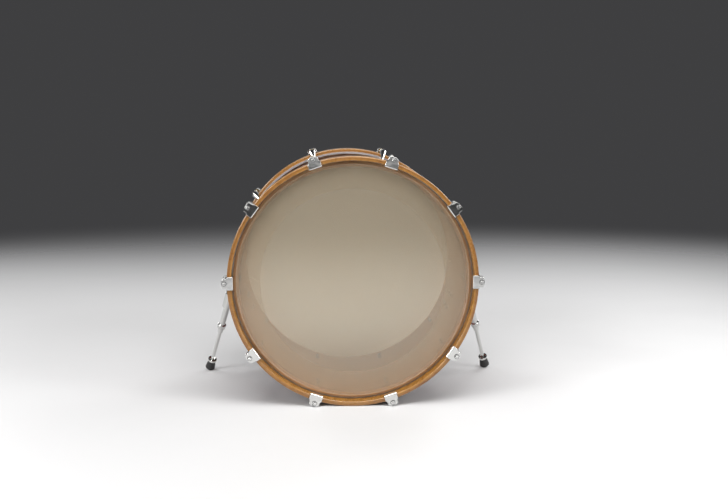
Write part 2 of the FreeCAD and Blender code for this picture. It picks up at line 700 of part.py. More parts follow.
def make_bracket(spur, holes):
    skin = "shell_outer_r + wrap_thick"
    plate = bracket_block("plate_block", spur, "0", f"{skin} - 6", f"{skin} + plate_thick", "plate_round")
    boss = post("boss_post", "boss_r", "-12", "boss_height", "boss_round", spur.pivot_placement())
    blank = joined("Fuse", "bracket_blank", plate, boss)
    seated = joined("Cut", "bracket_seated", blank, shell_drum("bracket_seat", f"{skin} + gasket_thick"))
    bored = joined("Cut", "bracket_bored", seated,
                   cylinder("pivot_bore", "pivot_bore_r", "boss_height + 12", spur.pivot_placement(3)))
    right = register(joined("Cut", "right_bracket", bored, holes), "right_spur_bracket")
    register(mirrored(right, "left_bracket"), "left_spur_bracket")

    slab = bracket_block("gasket_block", spur, "gasket_lip", f"{skin} - 6", f"{skin} + 6")
    sleeve = joined("Cut", "gasket_sleeve", shell_drum("gasket_outer", f"{skin} + gasket_thick"),
                    shell_drum("gasket_inner", skin))
    sheet_piece = joined("Common", "gasket_sheet", slab, sleeve)
    gasket = joined("Cut", "right_gasket", sheet_piece, holes)
    register(gathered("gaskets", [gasket, mirrored(gasket, "left_gasket")]), "spur_gaskets")

    start = "shell_outer_r - shell_wall - bolt_head - bolt_stand"
    bolts = []
    for number, place in enumerate(bolt_places(spur, start)):
        head = cylinder(f"bolt_head_{number}", "bolt_head_r", "bolt_head", place)
        shank = cylinder(f"bolt_shank_{number}", "bolt_r",
                         "bolt_head + bolt_stand + shell_wall + plate_thick", place)
        bolts.append(joined("Fuse", f"bolt_{number}", head, shank))
    right_bolts = gathered("right_bolts", bolts)
    register(gathered("bolts", [right_bolts, mirrored(right_bolts, "left_bolts")]), "spur_bolts")


def make_arm(spur):
    """The swivelling arm: a disc on the bracket's boss, with a barrel beside it that grips the leg."""
    low = "(boss_height + arm_gap)"
    disc = post("arm_disc", "arm_disc_r", low, f"({low} + arm_disc)", "arm_round", spur.pivot_placement())
    web = new_body("arm_web")
    sketch = new_sketch(web, "XY_Plane", lift=low)
    near, far = "(bolt_flange_r + web_gap)", "(bolt_flange_r + web_gap + leg_offset)"
    outline(sketch, [("-barrel_r", near), ("barrel_r", near), ("barrel_r", far), ("-barrel_r", far)])
    pad(web, sketch, f"leg_height - {low}")
    facing = value(near)
    fillet(web, "arm_round", lambda edge: edge.BoundBox.YMax < facing + 1e-4
           and edge.BoundBox.ZMax > value(low) + 1)
    web.Placement = spur.pivot_placement()
    along = FreeCAD.Rotation(FreeCAD.Vector(1, 0, 0), -90)
    barrel = new_body("arm_barrel")
    sketch = new_sketch(barrel, "XY_Plane")
    outline(sketch, [("0", "-barrel_half"), ("barrel_r - arm_round", "-barrel_half"),
                     ("barrel_r", "arm_round - barrel_half"), ("barrel_r", "barrel_half - arm_round"),
                     ("barrel_r - arm_round", "barrel_half"), ("0", "barrel_half")],
            arcs={1: "arm_round", 3: "arm_round"})
    revolve(barrel, sketch)
    barrel.Placement = spur.leg_placement()
    blank = joined("Fuse", "arm_web_disc", disc, web)
    blank = joined("Fuse", "arm_blank", blank, barrel)
    back = FreeCAD.Vector(0, -value("tube_back"), 0)
    bore = cylinder("arm_bore", "tube_r", "tube_back + tube_end",
                    spur.leg_placement() * FreeCAD.Placement(back, along))
    hole = cylinder("arm_hole", "arm_hole_r", "boss_height * 2", spur.pivot_placement())
    bored = joined("Cut", "arm_bored", blank, bore)
    right = register(joined("Cut", "right_arm", bored, hole), "right_spur_arm")
    register(mirrored(right, "left_arm"), "left_spur_arm")


def turned(name, profile, placement, label, arcs=None):
    """A piece of revolution about its own Y axis, and its mirror image."""
    body = new_body(name)
    sketch = new_sketch(body, "XY_Plane")
    outline(sketch, profile, arcs)
    revolve(body, sketch)
    body.Placement = placement
    register(body, "right_" + label)
    register(mirrored(body, name + "_left"), "left_" + label)
    return body


def make_leg(spur):
    place = spur.leg_placement()
    turned("leg_tube", [("tube_bore_r", "-tube_back"), ("tube_r", "-tube_back"), ("tube_r", "tube_end"),
                        ("tube_bore_r", "tube_end")], place, "spur_tube")
    turned("leg_collar", [
        ("collar_bore_r", "collar_start"), ("collar_r - 0.8", "collar_start"),
        ("collar_r", "collar_start + 0.8"), ("collar_r", "collar_shoulder - 0.8"),
        ("collar_r - 0.8", "collar_shoulder"), ("collar_r - 2", "collar_shoulder"),
        ("collar_nose_r", "collar_end"), ("collar_nose_bore_r", "collar_end"),
        ("collar_nose_bore_r", "tube_end + 0.2"), ("collar_bore_r", "tube_end + 0.2"),
    ], place, "spur_collar")
    shoulder = "(leg_reach - shoulder_back)"
    point = "(leg_reach + spike_point)"
    turned("leg_rod", [
        ("0", "leg_start"), ("leg_r", "leg_start"), ("leg_r", shoulder), ("spike_r", shoulder),
        ("spike_r", f"{point} - spike_taper"), ("0", point),
    ], place, "spur_rod")
    floor = f"({shoulder} + cup_floor)"
    turned("foot_cup", [
        ("spike_r", shoulder), ("cup_r - cup_wall", shoulder), ("cup_r - cup_wall", f"{floor} - cup_deep"),
        ("cup_r", f"{floor} - cup_deep"), ("cup_r", f"{floor} - 0.8"), ("cup_r - 0.8", floor),
        ("spike_r", floor),
    ], place, "spur_cup")
    turned("foot_rubber", [
        ("spike_r", floor), ("foot_top_r", floor),
        ("foot_r", "leg_reach + sqrt(pow(foot_round; 2) - pow(foot_r; 2))"), ("0", "leg_reach + foot_round"),
        ("0", point), ("spike_r", f"{point} - spike_taper"),
    ], place, "spur_foot", arcs={2: "foot_round"})


def make_key_bolt(spur):
    """The square-headed bolt that clamps the arm on its bracket."""
    body = new_body("key_bolt")
    sketch = new_sketch(body, "XZ_Plane")
    top = "(boss_height + arm_gap + arm_disc)"
    low = f"({top} - arm_disc - bolt_depth)"
    outline(sketch, [
        ("0", low), ("rod_r - 0.6", low), ("rod_r", f"{low} + 0.6"), ("rod_r", top), ("bolt_flange_r", top),
        ("bolt_flange_r", f"{top} + bolt_flange"), ("0", f"{top} + bolt_flange"),
    ])
    revolve(body, sketch)
    key = new_sketch(body, "XY_Plane", lift=f"{top} + bolt_flange")
    half = "key_width / 2"
    outline(key, [(f"-{half}", f"-{half}"), (half, f"-{half}"), (half, half), (f"-{half}", half)])
    pad(body, key, "key_height")
    head = value(f"{top} + bolt_flange + key_height")
    fillet(body, "key_round", lambda edge: edge.BoundBox.ZMin > head - 1e-4)
    body.Placement = spur.pivot_placement()
    register(body, "right_spur_key_bolt")
    register(mirrored(body, "key_bolt_left"), "left_spur_key_bolt")


# ---------------------------------------------------------------- the whole drum

def check():
    """Stops on any failed object or bad shape."""
    for obj in doc.Objects:
        if "Invalid" in obj.State or "Error" in obj.State:
            raise RuntimeError(f"{obj.Label}: {obj.State}")
    for obj in subparts:
        if obj.Shape.isNull() or not obj.Shape.isValid() or not obj.Shape.Solids:
            raise RuntimeError(obj.Label + ": bad shape")


rows = []
for dimension, size in DIMENSIONS.items():
    set_dimension(dimension, size)
doc.recompute()

spur = SpurFrame()
set_dimension("leg_reach", spur.reach)
doc.recompute()

holes = make_holes(spur)
register(joined("Cut", "shell_cut", make_shell(), holes), "shell")
register(joined("Cut", "wrap_cut", make_wrap(), holes), "shell_wrap")
register(joined("Cut", "badge_cut", make_badge(), holes), "badge_plate")
make_vent()
make_muffle_ring()
make_claw_pads()
make_rod_washers()
make_lug_gaskets()
make_lug_inserts()
make_lug_screws()
for side, end in (("batter", -1), ("front", 1)):
    make_head(side, end)
    make_hoop(side, end)
    make_claws(side, end)
    make_lugs(side, end)
    for number in range(int(value("lug_count"))):
        make_rod(side, end, number)
make_bracket(spur, holes)
make_arm(spur)
make_key_bolt(spur)
make_leg(spur)

doc.recompute()
check()
os.makedirs("parts", exist_ok=True)
for obj in subparts:
    obj.Shape.exportStep(f"parts/{obj.Label}.step")
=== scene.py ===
import json
import math

import bpy
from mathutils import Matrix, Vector


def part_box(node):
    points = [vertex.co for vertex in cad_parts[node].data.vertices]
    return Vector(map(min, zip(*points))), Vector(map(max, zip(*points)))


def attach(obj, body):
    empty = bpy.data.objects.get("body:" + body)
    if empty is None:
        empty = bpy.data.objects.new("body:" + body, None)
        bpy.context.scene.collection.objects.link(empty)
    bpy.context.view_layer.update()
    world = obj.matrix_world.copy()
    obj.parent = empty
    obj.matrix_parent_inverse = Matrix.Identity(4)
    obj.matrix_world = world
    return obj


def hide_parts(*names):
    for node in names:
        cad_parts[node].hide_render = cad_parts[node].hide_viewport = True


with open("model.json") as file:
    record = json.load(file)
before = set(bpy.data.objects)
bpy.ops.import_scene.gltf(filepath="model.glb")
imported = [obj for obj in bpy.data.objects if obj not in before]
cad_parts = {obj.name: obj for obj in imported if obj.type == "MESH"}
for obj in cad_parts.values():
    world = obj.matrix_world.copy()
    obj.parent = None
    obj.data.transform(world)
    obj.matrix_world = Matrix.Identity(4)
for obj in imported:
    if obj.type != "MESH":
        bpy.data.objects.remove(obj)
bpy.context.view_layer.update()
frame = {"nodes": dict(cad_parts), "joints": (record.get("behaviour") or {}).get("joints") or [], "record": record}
NODES = frame["nodes"]
AXIS_HEIGHT = (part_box("batter_hoop")[0].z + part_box("batter_hoop")[1].z) / 2


# ---------------------------------------------------------------- node trees

def rgba(colour):
    """A colour or a grey as four channels."""
    if isinstance(colour, (int, float)):
        return (colour, colour, colour, 1.0)
    return tuple(colour) + (1.0,)


def darker(colour, share):
    return tuple(channel * share for channel in colour)


class Look:
    """A material's node tree, built with nested calls. Lengths are in metres of the row frame."""

    def __init__(self, name):
        self.material = bpy.data.materials.new(name)
        self.material.use_nodes = True
        self.tree = self.material.node_tree
        self.tree.nodes.clear()
        self.place = self.add("TexCoord")["Object"]

    def add(self, kind, settings=None, inputs=None):
        node = self.tree.nodes.new("ShaderNode" + kind)
        for name, setting in (settings or {}).items():
            setattr(node, name, setting)
        for name, given in (inputs or {}).items():
            if isinstance(given, bpy.types.NodeSocket):
                self.tree.links.new(given, node.inputs[name])
            elif given is not None:
                node.inputs[name].default_value = given
        return node.outputs

    # Numbers.

    def math(self, operation, a, b=None):
        return self.add("Math", {"operation": operation}, {0: a, 1: b})[0]

    def plus(self, a, b):
        return self.math("ADD", a, b)

    def times(self, a, b):
        return self.math("MULTIPLY", a, b)

    def away(self, number, middle):
        """How far a number is from a middle one."""
        return self.math("ABSOLUTE", self.math("SUBTRACT", number, middle))

    def length(self, a, b):
        """The long side of a right triangle."""
        return self.math("SQRT", self.plus(self.times(a, a), self.times(b, b)))

    def range(self, factor, low, high, start, end):
        """From low at start to high at end, and flat beyond them."""
        return self.add("MapRange", None, {"Value": factor, "From Min": start, "From Max": end,
                                           "To Min": low, "To Max": high})[0]

    def ramp(self, factor, *stops):
        """stops are (position, colour or grey)."""
        outputs = self.add("ValToRGB", None, {0: factor})
        elements = outputs[0].node.color_ramp.elements
        while len(elements) < len(stops):
            elements.new(0.5)
        for element, (position, colour) in zip(elements, stops):
            element.position = position
            element.color = rgba(colour)
        return outputs[0]

    # Places and directions.

    def vector(self, operation, a, b=None):
        return self.add("VectorMath", {"operation": operation}, {0: a, 1: b})[0]

    def scaled(self, vector, factor):
        return self.add("VectorMath", {"operation": "SCALE"}, {0: vector, "Scale": factor})[0]

    def mapped(self, vector, scale):
        return self.add("Mapping", None, {"Vector": vector, "Scale": scale})[0]

    def split(self, vector):
        return self.add("SeparateXYZ", None, {0: vector})

    def stretched(self, places, scales):
        """A vector of three places, each times its own scale, for grain that runs one way."""
        spread = [self.times(place, scale) for place, scale in zip(places, scales)]
        return self.add("CombineXYZ", None, dict(enumerate(spread)))[0]

    def drum_polar(self):
        """Angle about the drum's axis from the top (radians), distance from that axis, place along it."""
        x, y, z = self.split(self.place)
        up = self.math("SUBTRACT", z, AXIS_HEIGHT)
        return self.math("ARCTAN2", x, up), self.length(x, up), y

    def off_bottom(self, angle):
        """How far an angle about the drum's axis is from straight down."""
        return self.away(self.math("ABSOLUTE", angle), math.pi)

    # Patterns.

    def noise(self, vector, scale, detail=3.0, roughness=0.5, distortion=0.0):
        return self.add("TexNoise", None, {"Vector": vector, "Scale": scale, "Detail": detail,
                                           "Roughness": roughness, "Distortion": distortion})[0]

    def cells(self, scale, feature="F1"):
        return self.add("TexVoronoi", {"feature": feature}, {"Vector": self.place, "Scale": scale})

    def plies(self, radius, thickness, fade, facing):
        """Glue lines of plies stacked along the radius, and how squarely a face cuts across the plies.
        fade and facing are where each one's ramp starts and ends."""
        ply = self.math("FRACT", self.times(radius, 1.0 / thickness))
        line = self.ramp(self.away(ply, 0.5), (fade[0], 0.0), (fade[1], 1.0))
        endwise = self.math("ABSOLUTE", self.split(self.add("NewGeometry")["True Normal"])[1])
        on_edge = self.ramp(endwise, (facing[0], 0.0), (facing[1], 1.0))
        return line, on_edge

    # Surfaces.

    def mix(self, factor, a, b):
        colours = [c if isinstance(c, bpy.types.NodeSocket) else rgba(c) for c in (a, b)]
        return self.add("Mix", {"data_type": "RGBA"}, {0: factor, 6: colours[0], 7: colours[1]})[2]

    def bump(self, height, strength, distance, normal=None):
        return self.add("Bump", None, {"Height": height, "Strength": strength, "Distance": distance,
                                       "Normal": normal})[0]

    def blended(self, factor, a, b):
        return self.add("MixShader", None, {0: factor, 1: a, 2: b})[0]

    def principled(self, **inputs):
        named = {name.replace("_", " "): given for name, given in inputs.items()}
        return self.add("BsdfPrincipled", None, named)[0]

    def done(self, surface):
        self.add("OutputMaterial", None, {"Surface": surface})
        return self.material


# ---------------------------------------------------------------- materials
# A pattern's scale is in waves or cells to a metre. Where its vector is scaled first, it has a scale of 1.

def chrome(name, tint=(0.68, 0.68, 0.665), rough=0.07, scratches=0.35):
    """Bright plate: long-wave ripple of the casting, faint haze patches and hairline polishing marks."""
    look = Look(name)
    haze = look.noise(look.place, scale=38.0, detail=4.0, roughness=0.6)
    fine = look.noise(look.place, scale=900.0, detail=2.0)
    lines = look.noise(look.mapped(look.place, (260.0, 2600.0, 260.0)), scale=1.0, detail=2.0, roughness=0.6)
    grime = look.ramp(look.noise(look.place, scale=90.0, detail=5.0, roughness=0.7), (0.58, 0.0), (0.74, 1.0))
    hazy = look.range(haze, low=rough * 0.7, high=rough * 1.7, start=0.35, end=0.7)
    rough_map = look.plus(look.plus(hazy, look.times(lines, rough * scratches)), look.times(grime, 0.05))
    colour = look.mix(look.times(grime, 0.16), tint, darker(tint, 0.72))
    ripple = look.bump(look.noise(look.place, scale=55.0, detail=1.0), strength=0.10, distance=0.002)
    normal = look.bump(look.plus(fine, lines), strength=0.035, distance=0.0003, normal=ripple)
    return look.done(look.principled(Base_Color=colour, Metallic=1.0, Roughness=rough_map, Normal=normal))


SMALL_FLAKES = 1050.0
LARGE_FLAKES = 620.0
FLAKE_REDS = ((0.0, (0.035, 0.0010, 0.002)), (0.55, (0.140, 0.0035, 0.006)),
              (0.86, (0.30, 0.010, 0.012)), (1.0, (0.62, 0.050, 0.045)))
GLINT_RED = (0.92, 0.12, 0.10)
CLOUDY_RED = (0.06, 0.002, 0.004)
GAP_RED = (0.03, 0.001, 0.002)
SEAM_RED = (0.015, 0.001, 0.001)


def sparkle_wrap(name):
    """Glitter laminate: flakes of two sizes that each face their own way, under a thick clear coat."""
    look = Look(name)
    small = look.cells(SMALL_FLAKES)["Color"]
    large = look.cells(LARGE_FLAKES)["Color"]
    glint = look.ramp(look.add("SeparateColor", None, {0: large})[1], (0.90, 0.0), (0.95, 1.0))
    shade = look.ramp(look.add("SeparateColor", None, {0: small})[0], *FLAKE_REDS)
    colour = look.mix(glint, shade, GLINT_RED)
    cloud = look.noise(look.place, scale=9.0, detail=2.0)
    colour = look.mix(look.range(cloud, low=0.0, high=0.35, start=0.3, end=0.75), colour, CLOUDY_RED)
    gap = look.ramp(look.cells(SMALL_FLAKES, "DISTANCE_TO_EDGE")[0], (0.0, 0.0), (0.07, 1.0))
    colour = look.mix(gap, GAP_RED, colour)
    # The sheet's overlap: one seam along the shell, at the bottom.
    seam = look.ramp(look.off_bottom(look.drum_polar()[0]), (0.0, 1.0), (0.0016, 1.0), (0.0026, 0.0))
    colour = look.mix(look.times(seam, 0.75), colour, SEAM_RED)
    # Each flake leans by its cell's colour.
    small_lean, large_lean = [look.scaled(look.vector("SUBTRACT", cell, (0.5, 0.5, 0.5)), amount)
                              for cell, amount in ((small, 0.75), (large, look.times(glint, 0.9)))]
    leaned = look.vector("ADD", look.vector("ADD", look.add("NewGeometry")["Normal"], small_lean), large_lean)
    wipes = look.noise(look.mapped(look.place, (14.0, 60.0, 14.0)), scale=1.0, detail=4.0, roughness=0.65)
    peel = look.bump(look.noise(look.place, scale=160.0, detail=2.0), strength=0.04, distance=0.0006)
    return look.done(look.principled(
        Base_Color=colour, Metallic=0.72, Roughness=0.34, Normal=look.vector("NORMALIZE", leaned),
        Coat_Weight=1.0, Coat_Roughness=look.range(wipes, low=0.015, high=0.09, start=0.4, end=0.8),
        Coat_IOR=1.5, Coat_Normal=peel))


# Angles become lengths round the hoop at this radius.
HOOP_RADIUS = 0.29
HOOP_PLY = 0.0015
INLAY_RADIUS = 0.2913
HOOP_GRAIN = ((0.28, (0.120, 0.045, 0.006)), (0.48, (0.200, 0.085, 0.011)), (0.72, (0.290, 0.138, 0.020)))
FLAME_AMBER = (0.35, 0.18, 0.032)
FIBRE_BROWN = (0.11, 0.040, 0.006)
PORE_BROWN = (0.12, 0.042, 0.008)
INLAY_BROWN = (0.085, 0.022, 0.006)
JOINT_BROWN = (0.10, 0.035, 0.008)


def hoop_wood(name):
    """Bent plies of maple under amber lacquer: grain runs round the hoop, plies show on its edges."""
    look = Look(name)
    angle, radius, along = look.drum_polar()
    places = (look.times(angle, HOOP_RADIUS), radius, along)
    grain = look.noise(look.stretched(places, (9.0, 260.0, 260.0)), scale=1.0, detail=6.0, roughness=0.62,
                       distortion=0.6)
    pores = look.noise(look.stretched(places, (70.0, 2400.0, 2400.0)), scale=1.0, detail=2.0)
    flame = look.noise(look.stretched(places, (95.0, 30.0, 12.0)), scale=1.0, detail=2.0, distortion=0.4)
    fibre = look.noise(look.stretched(places, (30.0, 900.0, 900.0)), scale=1.0, detail=4.0, roughness=0.65)
    colour = look.ramp(grain, *HOOP_GRAIN)
    colour = look.mix(look.range(flame, low=0.0, high=0.30, start=0.35, end=0.7), colour, FLAME_AMBER)
    colour = look.mix(look.range(fibre, low=0.0, high=0.45, start=0.48, end=0.66), colour, FIBRE_BROWN)
    colour = look.mix(look.times(look.ramp(pores, (0.56, 0.0), (0.72, 1.0)), 0.30), colour, PORE_BROWN)
    line, on_edge = look.plies(radius, HOOP_PLY, fade=(0.40, 0.49), facing=(0.80, 0.98))
    colour = look.mix(look.times(look.times(line, on_edge), 0.42), colour, PORE_BROWN)
    # One inlaid ply is redder and darker than the rest.
    inlay = look.ramp(look.away(radius, INLAY_RADIUS), (0.0008, 1.0), (0.0011, 0.0))
    colour = look.mix(look.times(look.times(inlay, on_edge), 0.45), colour, INLAY_BROWN)
    # The outer ply's butt joint, at the bottom.
    joint = look.ramp(look.off_bottom(angle), (0.0, 1.0), (0.0012, 1.0), (0.0020, 0.0))
    colour = look.mix(look.times(joint, 0.3), colour, JOINT_BROWN)
    rough = look.noise(look.place, scale=60.0, detail=4.0, roughness=0.6)
    coat_rough = look.noise(look.place, scale=25.0)
    peel = look.bump(look.noise(look.place, scale=120.0, detail=2.0), strength=0.05, distance=0.0006)
    open_pores = look.bump(pores, strength=0.05, distance=0.0002)
    return look.done(look.principled(
        Base_Color=colour, Roughness=look.range(rough, low=0.22, high=0.36, start=0.3, end=0.7),
        Normal=look.bump(grain, strength=0.05, distance=0.0006, normal=open_pores),
        Coat_Weight=0.6, Coat_Roughness=look.range(coat_rough, low=0.05, high=0.14, start=0.35, end=0.7),
        Coat_IOR=1.5, Coat_Normal=peel))


SHELL_RADIUS = 0.27
SHELL_PLY = 0.00108
SHELL_GRAIN = ((0.25, (0.70, 0.38, 0.165)), (0.5, (0.84, 0.50, 0.235)), (0.8, (0.92, 0.60, 0.31)))
SHELL_PORES = (0.33, 0.16, 0.07)
SHELL_GLUE = (0.30, 0.14, 0.06)
SHELL_SEAM = (0.22, 0.10, 0.04)
SEAM_ANGLE = 2.2


def shell_ply(name):
    """The shell's bare maple inside: grain round the shell, a glue seam, and plies at the bearing edge."""
    look = Look(name)
    angle, radius, along = look.drum_polar()
    places = (look.times(angle, SHELL_RADIUS), radius, along)
    grain = look.noise(look.stretched(places, (7.0, 200.0, 120.0)), scale=1.0, detail=7.0, roughness=0.6,
                       distortion=0.8)
    pores = look.noise(look.stretched(places, (60.0, 1500.0, 1500.0)), scale=1.0, detail=2.0)
    colour = look.ramp(grain, *SHELL_GRAIN)
    colour = look.mix(look.times(look.ramp(pores, (0.55, 0.0), (0.75, 1.0)), 0.25), colour, SHELL_PORES)
    line, on_edge = look.plies(radius, SHELL_PLY, fade=(0.36, 0.48), facing=(0.25, 0.5))
    colour = look.mix(look.times(look.times(line, on_edge), 0.6), colour, SHELL_GLUE)
    seam = look.ramp(look.away(angle, SEAM_ANGLE), (0.0, 1.0), (0.0012, 1.0), (0.0022, 0.0))
    colour = look.mix(look.times(seam, 0.5), colour, SHELL_SEAM)
    open_pores = look.bump(pores, strength=0.10, distance=0.0003)
    rough = look.noise(look.place, scale=40.0, detail=4.0)
    return look.done(look.principled(
        Base_Color=colour, Roughness=look.range(rough, low=0.42, high=0.62, start=0.3, end=0.7),
        Normal=look.bump(grain, strength=0.08, distance=0.0008, normal=open_pores)))


# Each pair of radii is where a change starts and ends. The film's edge gets painted warm light, stronger the lower
# it is; its collar gets a painted amber reflection of the hoop.
COLLAR_RADII = (0.2735, 0.2765)
EDGE_RADII = (0.195, 0.275)
EDGE_HEIGHT = 0.46
MOTTLING = 0.05
PAINTED_WARM_LIGHT = (0.88, 0.58, 0.33)
PAINTED_COLLAR_LIGHT = (0.97, 0.68, 0.42)


def film(name, clear, scatter, tint, gloss_rough):
    """Polyester head: part clear, part milky, so that what lies behind shows softly through it.
    Its collar, where the film turns down over the bearing edge, is hazier and has a painted amber reflection of
    the hoop with painted light, and the film's lower edge has painted warm light."""
    look = Look(name)
    radius = look.drum_polar()[1]
    cloud = look.noise(look.place, scale=3.2, detail=1.0, roughness=0.4)
    haze = look.noise(look.place, scale=14.0, detail=4.0, roughness=0.55)
    collar = look.range(radius, low=0.0, high=1.0, start=COLLAR_RADII[0], end=COLLAR_RADII[1])
    edge = look.times(look.range(radius, low=0.0, high=1.0, start=EDGE_RADII[0], end=EDGE_RADII[1]),
                      look.range(look.split(look.place)[2], low=1.0, high=0.0, start=0.0, end=EDGE_HEIGHT))
    colour = look.mix(look.range(cloud, low=0.0, high=MOTTLING * 2, start=0.2, end=0.8),
                      scatter, darker(scatter, 0.6))
    # Painted warm light: the film's edge is warmer the lower it is.
    colour = look.mix(look.times(edge, 0.9), colour, PAINTED_WARM_LIGHT)
    colour = look.mix(look.range(haze, low=0.0, high=MOTTLING, start=0.3, end=0.7), colour,
                      darker(scatter, 0.5))
    # Painted reflection and light: the shaded collar is painted a bright amber, as the hoop would show in it.
    colour = look.mix(collar, colour, PAINTED_COLLAR_LIGHT)
    milky = look.blended(0.40, look.add("BsdfDiffuse", None, {"Color": colour})[0],
                         look.add("BsdfTranslucent", None, {"Color": colour})[0])
    through = look.add("BsdfTransparent", None, {"Color": rgba(tint)})[0]
    middle_clearness = look.range(cloud, low=clear - 0.02, high=clear + 0.02, start=0.2, end=0.8)
    clearness = look.math("SUBTRACT", middle_clearness, look.times(collar, 0.55))
    slack = look.bump(look.noise(look.place, scale=5.0, detail=0.0), strength=0.05, distance=0.004)
    smears = look.noise(look.mapped(look.place, (18.0, 18.0, 70.0)), scale=1.0)
    rough = look.range(smears, low=gloss_rough * 0.7, high=gloss_rough * 1.5, start=0.3, end=0.7)
    gloss = look.add("BsdfGlossy", None, {"Color": rgba(1.0), "Normal": slack, "Roughness": rough})[0]
    rim = look.add("Fresnel", None, {"IOR": 1.55, "Normal": slack})[0]
    return look.done(look.blended(rim, look.blended(clearness, milky, through), gloss))


def metal(name, tint, rough, grain_scales):
    """Plain metal with a drawn or brushed grain along one direction and light staining."""
    look = Look(name)
    grain = look.noise(look.mapped(look.place, grain_scales), scale=1.0, roughness=0.6)
    patches = look.noise(look.place, scale=60.0, detail=5.0, roughness=0.65)
    colour = look.mix(look.range(patches, low=0.0, high=0.24, start=0.4, end=0.75), tint, darker(tint, 0.5))
    rough_map = look.plus(look.range(grain, low=rough * 0.8, high=rough * 1.25, start=0.3, end=0.7),
                          look.range(patches, low=0.0, high=0.08, start=0.4, end=0.8))
    normal = look.bump(grain, strength=0.12, distance=0.0002)
    return look.done(look.principled(Base_Color=colour, Metallic=1.0, Roughness=rough_map, Normal=normal))


SHADE_LINE_RADII = (0.2844, 0.2847)
SHADE_LINE_PLACES = (0.1890, 0.1900)
PAINTED_SHADE_BLACK = (0.012, 0.011, 0.010)


def flesh_hoop(name):
    """Pressed aluminium channel, brushed round, with a dark painted shade line in the gap where the film goes in.
    """
    look = Look(name)
    angle, radius, along = look.drum_polar()
    brushed = look.noise(look.stretched((angle, radius, along), (9.0, 900.0, 900.0)), scale=1.0,
                         roughness=0.6)
    patches = look.noise(look.place, scale=45.0, detail=4.0, roughness=0.6)
    colour = look.mix(look.range(patches, low=0.0, high=0.4, start=0.4, end=0.75),
                      (0.56, 0.56, 0.555), (0.34, 0.335, 0.33))
    # Painted shade: the channel is darkened where it shows between the film and the hoop.
    inward = look.ramp(radius, (SHADE_LINE_RADII[0], 1.0), (SHADE_LINE_RADII[1], 0.0))
    endward = look.ramp(look.math("ABSOLUTE", along), (SHADE_LINE_PLACES[0], 0.0), (SHADE_LINE_PLACES[1], 1.0))
    # glue is the painted shade mask: dark, dull and not metallic where the hoop and the film shade the channel.
    glue = look.times(inward, endward)
    rough = look.plus(look.range(brushed, low=0.28, high=0.44, start=0.3, end=0.7), look.times(glue, 0.2))
    return look.done(look.principled(
        Base_Color=look.mix(glue, colour, PAINTED_SHADE_BLACK), Metallic=look.math("SUBTRACT", 1.0, glue),
        Roughness=rough, Normal=look.bump(brushed, strength=0.10, distance=0.0002)))


def rubber(name, tone, rough):
    """Moulded rubber: fine pebble, dusty patches and a duller bloom."""
    look = Look(name)
    dust = look.ramp(look.noise(look.place, scale=110.0, detail=6.0, roughness=0.7), (0.46, 0.0), (0.72, 1.0))
    colour = look.mix(look.times(dust, 0.35), (tone, tone, tone * 1.02), (tone * 3.4, tone * 3.2, tone * 3.0))
    bloom = look.range(look.noise(look.place, scale=200.0), low=rough - 0.08, high=rough + 0.12,
                       start=0.3, end=0.7)
    swell = look.bump(look.noise(look.place, scale=160.0), strength=0.10, distance=0.0006)
    return look.done(look.principled(
        Base_Color=colour, Roughness=bloom,
        Normal=look.bump(look.cells(1900.0)[0], strength=0.18, distance=0.0003, normal=swell)))


# Distances from the drum's middle, where the floor's paint starts and ends its fade.
FADE_START = 1.3
FADE_END = 4.2


def floor_paint(name):
    """Pale paint that fades into the backdrop away from the drum, so that no horizon shows."""
    look = Look(name)
    cloud = look.noise(look.place, scale=1.6, detail=4.0)
    speck = look.noise(look.place, scale=420.0, detail=2.0)
    paint = look.principled(Base_Color=look.mix(cloud, (0.50, 0.50, 0.503), (0.465, 0.465, 0.472)),
                            Roughness=look.range(cloud, low=0.48, high=0.60, start=0.3, end=0.7),
                            Normal=look.bump(speck, strength=0.03, distance=0.0004))
    x, y, _ = look.split(look.place)
    fade = look.add("MapRange", {"interpolation_type": "SMOOTHSTEP"},
                    {"Value": look.length(x, y), "From Min": FADE_START, "From Max": FADE_END})[0]
    return look.done(look.blended(fade, paint, look.add("BsdfTransparent")[0]))


FINISHES = {
    "bright_chrome": chrome("bright_chrome_look"),
    "rod_chrome": chrome("rod_chrome_look", tint=(0.62, 0.62, 0.61), rough=0.11, scratches=0.5),
    "sparkle_wrap": sparkle_wrap("sparkle_wrap_look"),
    "hoop_maple": hoop_wood("hoop_maple_look"),
    "shell_ply": shell_ply("shell_ply_look"),
    "batter_film": film("batter_film_look", clear=0.78, scatter=(0.80, 0.72, 0.57),
                        tint=(0.97, 0.94, 0.88), gloss_rough=0.05),
    "front_film": film("front_film_look", clear=0.60, scatter=(0.74, 0.68, 0.54),
                       tint=(0.97, 0.95, 0.91), gloss_rough=0.05),
    "muffle_film": film("muffle_film_look", clear=0.72, scatter=(0.95, 0.80, 0.62),
                        tint=(0.985, 0.97, 0.93), gloss_rough=0.12),
    "flesh_hoop_metal": flesh_hoop("flesh_hoop_look"),
    "badge_metal": metal("badge_metal_look", tint=(0.70, 0.68, 0.63), rough=0.24,
                         grain_scales=(90.0, 2400.0, 90.0)),
    "washer_nylon": rubber("washer_nylon_look", tone=0.014, rough=0.38),
    "insert_brass": metal("insert_brass_look", tint=(0.60, 0.42, 0.18), rough=0.28,
                          grain_scales=(700.0, 700.0, 700.0)),
    "screw_steel": metal("screw_steel_look", tint=(0.50, 0.49, 0.47), rough=0.33,
                         grain_scales=(700.0, 700.0, 700.0)),
    "black_rubber": rubber("black_rubber_look", tone=0.022, rough=0.5),
    "foot_rubber": rubber("foot_rubber_look", tone=0.016, rough=0.55),
}

for part in frame["record"]["subparts"]:
    surface = FINISHES[part["material_slot"]]
    for slot in NODES[part["node"]].material_slots:
        slot.material = surface


# ---------------------------------------------------------------- hoops, rolled threads and grips

